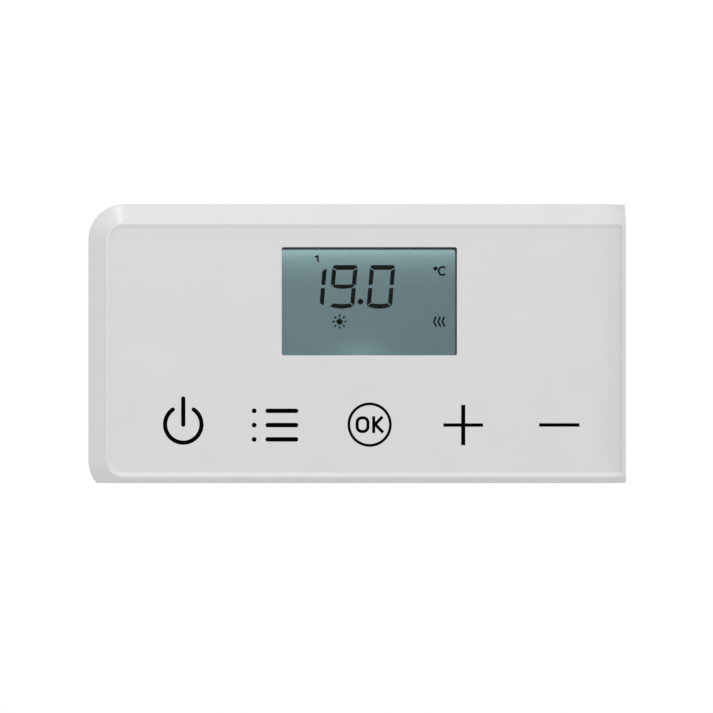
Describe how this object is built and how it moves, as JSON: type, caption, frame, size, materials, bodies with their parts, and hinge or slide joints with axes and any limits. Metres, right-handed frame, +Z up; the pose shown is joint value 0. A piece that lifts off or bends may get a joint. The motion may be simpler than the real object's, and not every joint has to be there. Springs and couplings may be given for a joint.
{
  "type": "wall thermostat",
  "caption": "Low wall thermostat with a bevelled white case, a segment display, foil keys and a hook-on wall plate with mains terminals.",
  "frame": {"origin": "middle of the two box-screw slots, on the rear face of the wall plate, which is the surface of the wall", "axes": "+X to the right seen from the room, +Y into the wall, +Z up; the face looks along -Y"},
  "size_m": [0.108, 0.03, 0.056],
  "materials": {
    "white_abs": "fine satin moulded ABS",
    "grey_abs": "matt moulded ABS",
    "foil": "printed polyester film, smooth satin",
    "key_plastic": "moulded acetal",
    "clear_window": "clear moulded acrylic",
    "lcd_glass": "liquid crystal cell with polarisers",
    "black_foam": "closed-cell foam",
    "silicone": "layered conductive silicone rubber",
    "light_guide": "clear acrylic with a printed back",
    "reflector": "white polyester film",
    "black_plastic": "glass-filled moulding",
    "led_body": "white package with clear resin",
    "circuit_board": "glass-epoxy laminate with solder mask",
    "epoxy_bead": "dipped epoxy",
    "relay_case": "moulded PBT",
    "capacitor_box": "box with resin fill",
    "capacitor_sleeve": "shrunk PVC sleeve on an aluminium can",
    "varistor_coat": "dipped epoxy",
    "ferrite": "sintered ferrite and lacquered wire",
    "terminal_plastic": "moulded polyamide",
    "brass": "tinned brass",
    "plated_steel": "zinc plated",
    "spring_steel": "rolled spring steel"
  },
  "bodies": {
    "wall_bracket": {"wall_plate": "grey_abs", "release_clip": "spring_steel", "clip_rivets": "plated_steel", "terminal_block": "terminal_plastic", "block_screws": "plated_steel", "contact_forks": "brass"},
    "power_key": {"key_power": "key_plastic", "switch_stem_power": "black_plastic"},
    "menu_key": {"key_menu": "key_plastic", "switch_stem_menu": "black_plastic"},
    "ok_key": {"key_ok": "key_plastic", "switch_stem_ok": "black_plastic"},
    "plus_key": {"key_plus": "key_plastic", "switch_stem_plus": "black_plastic"},
    "minus_key": {"key_minus": "key_plastic", "switch_stem_minus": "black_plastic"},
    "pole_screw_1": {"terminal_screw_1": "plated_steel"},
    "pole_clamp_1": {"wire_clamp_1": "brass"},
    "pole_screw_2": {"terminal_screw_2": "plated_steel"},
    "pole_clamp_2": {"wire_clamp_2": "brass"},
    "pole_screw_3": {"terminal_screw_3": "plated_steel"},
    "pole_clamp_3": {"wire_clamp_3": "brass"},
    "pole_screw_4": {"terminal_screw_4": "plated_steel"},
    "pole_clamp_4": {"wire_clamp_4": "brass"},
    "front_unit": {"backlight_leds": "led_body", "battery_holder": "black_plastic", "board_header": "black_plastic", "board_socket": "black_plastic", "clock_battery": "plated_steel", "contact_blades": "brass", "control_board": "circuit_board", "control_board_screws": "plated_steel", "controller_chip": "black_plastic", "cover_screws": "plated_steel", "display_gasket": "black_foam", "display_window": "clear_window", "end_cap": "white_abs", "front_cover": "white_abs", "front_foil": "foil", "fuse": "black_plastic", "lcd_front_glass": "lcd_glass", "lcd_holder": "black_plastic", "lcd_rear_glass": "lcd_glass", "light_guide": "light_guide", "power_board": "circuit_board", "power_board_screws": "plated_steel", "rear_housing": "white_abs", "reflector": "reflector", "relay": "relay_case", "room_sensor": "epoxy_bead", "smoothing_capacitor": "capacitor_sleeve", "supply_capacitor": "capacitor_box", "supply_inductor": "ferrite", "switch_bodies": "black_plastic", "switch_covers": "plated_steel", "varistor": "varistor_coat", "zebra_strip": "silicone"}
  },
  "joints": [
    {"name": "front_tilt", "type": "hinge", "parent": "wall_bracket", "child": "front_unit", "pos_m": [0, -0.003, 0.025], "axis": [-1, 0, 0], "range_deg": [0, 30], "deforming": ["release_clip"]},
    {"name": "power_press", "type": "slide", "parent": "front_unit", "child": "power_key", "axis": [0, 1, 0], "range_m": [0, 0.0004], "stiffness_N_per_m": 2000},
    {"name": "menu_press", "type": "slide", "parent": "front_unit", "child": "menu_key", "axis": [0, 1, 0], "range_m": [0, 0.0004], "stiffness_N_per_m": 2000},
    {"name": "ok_press", "type": "slide", "parent": "front_unit", "child": "ok_key", "axis": [0, 1, 0], "range_m": [0, 0.0004], "stiffness_N_per_m": 2000},
    {"name": "plus_press", "type": "slide", "parent": "front_unit", "child": "plus_key", "axis": [0, 1, 0], "range_m": [0, 0.0004], "stiffness_N_per_m": 2000},
    {"name": "minus_press", "type": "slide", "parent": "front_unit", "child": "minus_key", "axis": [0, 1, 0], "range_m": [0, 0.0004], "stiffness_N_per_m": 2000},
    {"name": "screw_turn_1", "type": "hinge", "parent": "wall_bracket", "child": "pole_screw_1", "pos_m": [-0.01125, -0.012, -0.01], "axis": [0, 1, 0], "range_deg": [0, 1440.1]},
    {"name": "clamp_lift_1", "type": "slide", "parent": "wall_bracket", "child": "pole_clamp_1", "axis": [0, -1, 0], "range_m": [0, 0.0024]},
    {"name": "screw_turn_2", "type": "hinge", "parent": "wall_bracket", "child": "pole_screw_2", "pos_m": [-0.00375, -0.012, -0.01], "axis": [0, 1, 0], "range_deg": [0, 1440.1]},
    {"name": "clamp_lift_2", "type": "slide", "parent": "wall_bracket", "child": "pole_clamp_2", "axis": [0, -1, 0], "range_m": [0, 0.0024]},
    {"name": "screw_turn_3", "type": "hinge", "parent": "wall_bracket", "child": "pole_screw_3", "pos_m": [0.00375, -0.012, -0.01], "axis": [0, 1, 0], "range_deg": [0, 1440.1]},
    {"name": "clamp_lift_3", "type": "slide", "parent": "wall_bracket", "child": "pole_clamp_3", "axis": [0, -1, 0], "range_m": [0, 0.0024]},
    {"name": "screw_turn_4", "type": "hinge", "parent": "wall_bracket", "child": "pole_screw_4", "pos_m": [0.01125, -0.012, -0.01], "axis": [0, 1, 0], "range_deg": [0, 1440.1]},
    {"name": "clamp_lift_4", "type": "slide", "parent": "wall_bracket", "child": "pole_clamp_4", "axis": [0, -1, 0], "range_m": [0, 0.0024]}
  ],
  "couplings": [
    {"joint": "screw_turn_1", "follows": "clamp_lift_1", "rad_per_m": 10472},
    {"joint": "screw_turn_2", "follows": "clamp_lift_2", "rad_per_m": 10472},
    {"joint": "screw_turn_3", "follows": "clamp_lift_3", "rad_per_m": 10472},
    {"joint": "screw_turn_4", "follows": "clamp_lift_4", "rad_per_m": 10472}
  ]
}
